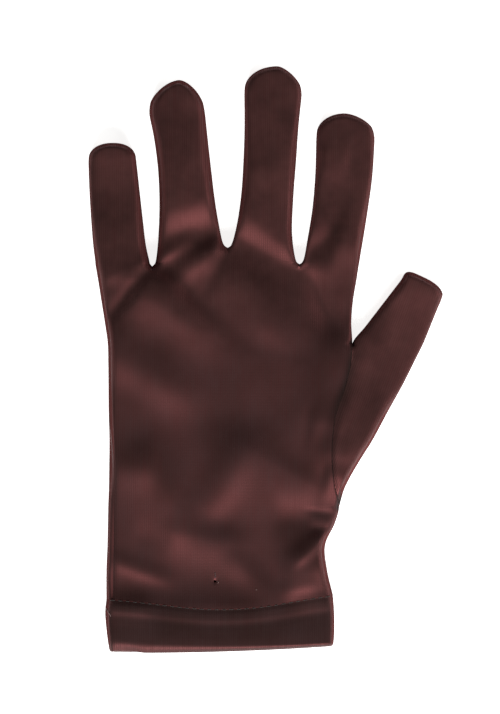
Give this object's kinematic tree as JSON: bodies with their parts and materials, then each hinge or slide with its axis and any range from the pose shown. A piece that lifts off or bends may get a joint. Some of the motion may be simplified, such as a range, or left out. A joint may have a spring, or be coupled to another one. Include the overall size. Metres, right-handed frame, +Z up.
{
  "type": "costume glove",
  "caption": "Short fitted dress glove of stretch satin lying empty on its palm side, fingers spread, thumb out, with a turned hem round the open wrist",
  "frame": {"origin": "middle of the glove's footprint, on the surface that it lies on", "axes": "+Y along the fingers, +X to the thumb's side, +Z up out of the back of the hand"},
  "size_m": [0.1422, 0.2349, 0.0142],
  "materials": {
    "back_satin": "soft sheen of stretch satin, dark brown maroon",
    "palm_satin": "soft sheen of stretch satin, dark brown maroon",
    "thumb_satin": "soft sheen of stretch satin, dark brown maroon",
    "hem_satin": "doubled stretch satin with a stitched line, dark brown maroon"
  },
  "bodies": {
    "root": {"back_panel": "back_satin", "palm_panel": "palm_satin", "thumb": "thumb_satin", "wrist_hem": "hem_satin"}
  },
  "joints": []
}
